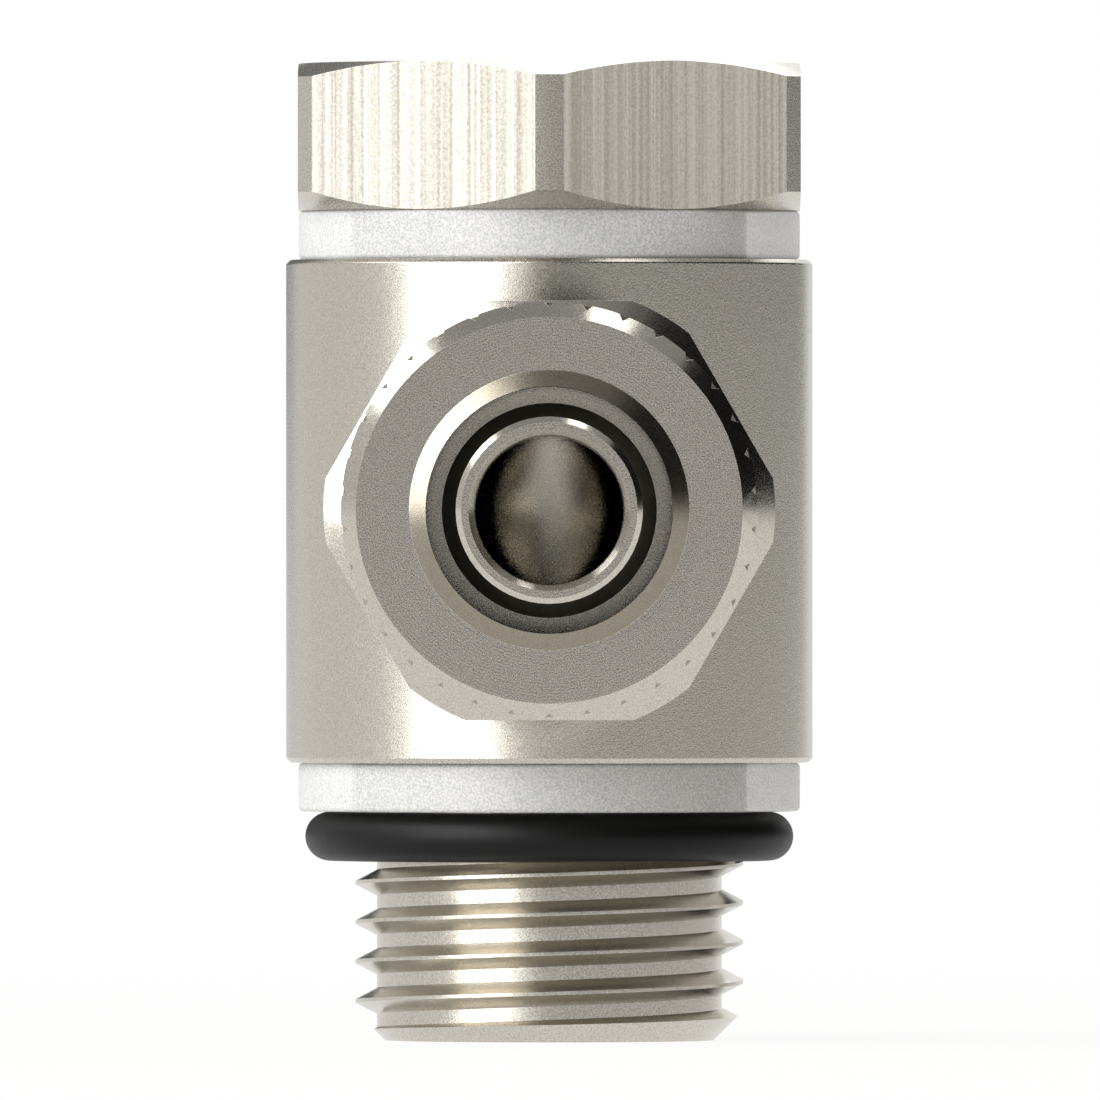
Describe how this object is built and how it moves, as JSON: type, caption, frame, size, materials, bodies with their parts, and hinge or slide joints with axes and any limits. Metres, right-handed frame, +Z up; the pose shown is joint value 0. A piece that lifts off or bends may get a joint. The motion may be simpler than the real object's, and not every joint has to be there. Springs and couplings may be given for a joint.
{
  "type": "swivel elbow fitting",
  "caption": "Swivel elbow for pneumatic tube: hollow hex bolt with male pipe thread, turning ring body, side stem with spigot and knurled union nut, nylon washers and O-ring.",
  "frame": {"origin": "on the hollow bolt's axis, in the plane where the lower washer seats on the threaded port", "axes": "+Z up the bolt towards its hexagon head, -Y out of the tube port, +X to the right when looking into the tube port"},
  "size_m": [0.0178, 0.0368, 0.0332],
  "materials": {
    "nickel_plated_brass": "satin nickel plating on turned and drawn brass",
    "white_nylon": "fine matt, moulded",
    "black_nitrile_rubber": "smooth moulded rubber"
  },
  "bodies": {
    "bolt": {"hollow_bolt": "nickel_plated_brass", "upper_washer": "white_nylon", "upper_seal_ring": "black_nitrile_rubber", "lower_seal_ring": "black_nitrile_rubber", "lower_washer": "white_nylon", "port_o_ring": "black_nitrile_rubber"},
    "body": {"ring_body": "nickel_plated_brass", "port_stem": "nickel_plated_brass"},
    "nut": {"union_nut": "nickel_plated_brass"}
  },
  "joints": [
    {"name": "body_swivel", "type": "hinge", "parent": "bolt", "child": "body", "pos_m": [0, 0, 0.01018], "axis": [0, 0, 1], "continuous": true},
    {"name": "nut_turn", "type": "hinge", "parent": "body", "child": "nut", "pos_m": [0, -0.019, 0.01018], "axis": [0, -1, 0], "range_deg": [0, 1800]}
  ]
}
